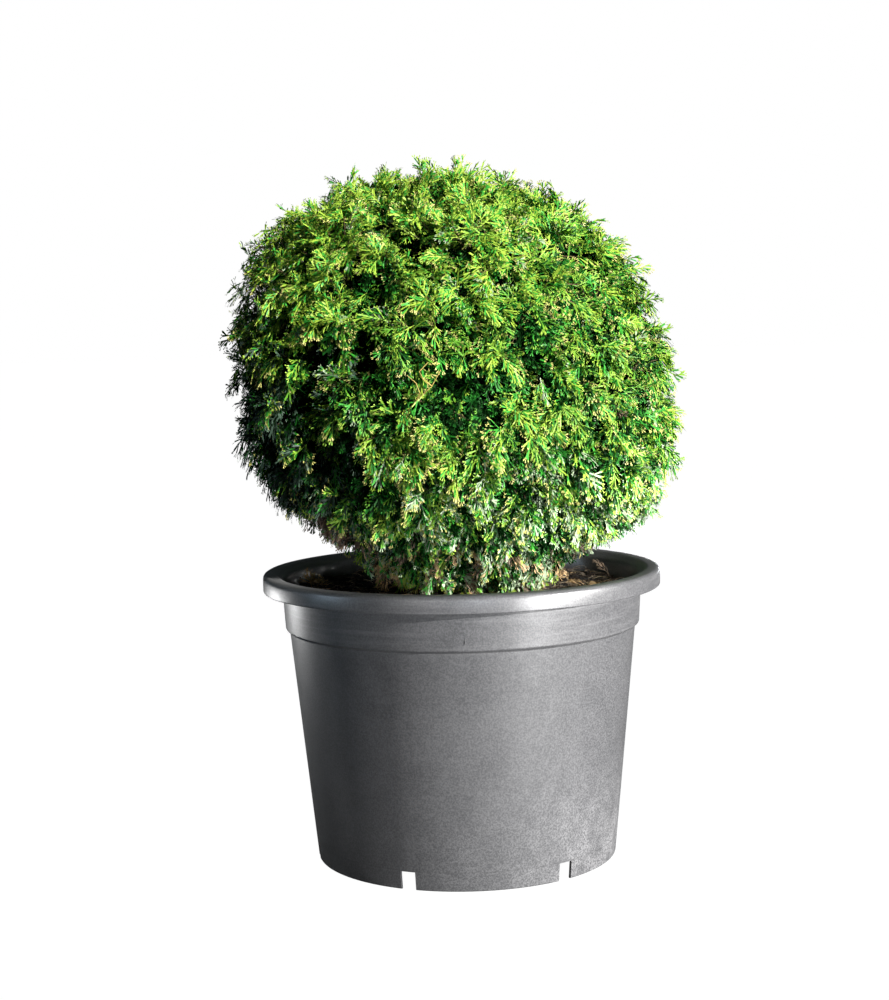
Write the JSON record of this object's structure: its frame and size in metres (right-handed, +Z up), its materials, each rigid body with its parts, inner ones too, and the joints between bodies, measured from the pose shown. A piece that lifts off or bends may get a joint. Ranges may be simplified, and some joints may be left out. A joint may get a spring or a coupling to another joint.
{
  "type": "potted little giant arborvitae",
  "caption": "Globe-shaped evergreen arborvitae with dense flat scaly sprays, growing in a round tapered plastic nursery pot with a thick rolled rim.",
  "frame": {"origin": "on the ground under the middle of the pot", "axes": "+Z up along the pot's axis, -Y the front as pictured, +X to the viewer's right"},
  "size_m": [0.4643, 0.4597, 0.6996],
  "materials": {
    "pot_plastic": "dusty, lightly scuffed satin",
    "potting_mix": "loose and rough",
    "bark": "fibrous bark in long strips",
    "foliage": "waxy scale leaves"
  },
  "bodies": {
    "root": {"pot": "pot_plastic", "soil": "potting_mix", "trunk": "bark", "bough_upper_1": "bark", "bough_upper_2": "bark", "bough_upper_3": "bark", "bough_upper_4": "bark", "bough_upper_5": "bark", "bough_middle_1": "bark", "bough_middle_2": "bark", "bough_middle_3": "bark", "bough_middle_4": "bark", "bough_middle_5": "bark", "bough_middle_6": "bark", "bough_lower_1": "bark", "bough_lower_2": "bark", "bough_lower_3": "bark", "bough_lower_4": "bark", "bough_lower_5": "bark", "foliage_top": "foliage", "foliage_upper_1": "foliage", "foliage_upper_2": "foliage", "foliage_upper_3": "foliage", "foliage_upper_4": "foliage", "foliage_upper_5": "foliage", "foliage_middle_1": "foliage", "foliage_middle_2": "foliage", "foliage_middle_3": "foliage", "foliage_middle_4": "foliage", "foliage_middle_5": "foliage", "foliage_middle_6": "foliage", "foliage_lower_1": "foliage", "foliage_lower_2": "foliage", "foliage_lower_3": "foliage", "foliage_lower_4": "foliage", "foliage_lower_5": "foliage", "foliage_skirt_1": "foliage", "foliage_skirt_2": "foliage", "foliage_skirt_3": "foliage", "foliage_skirt_4": "foliage"}
  },
  "joints": []
}
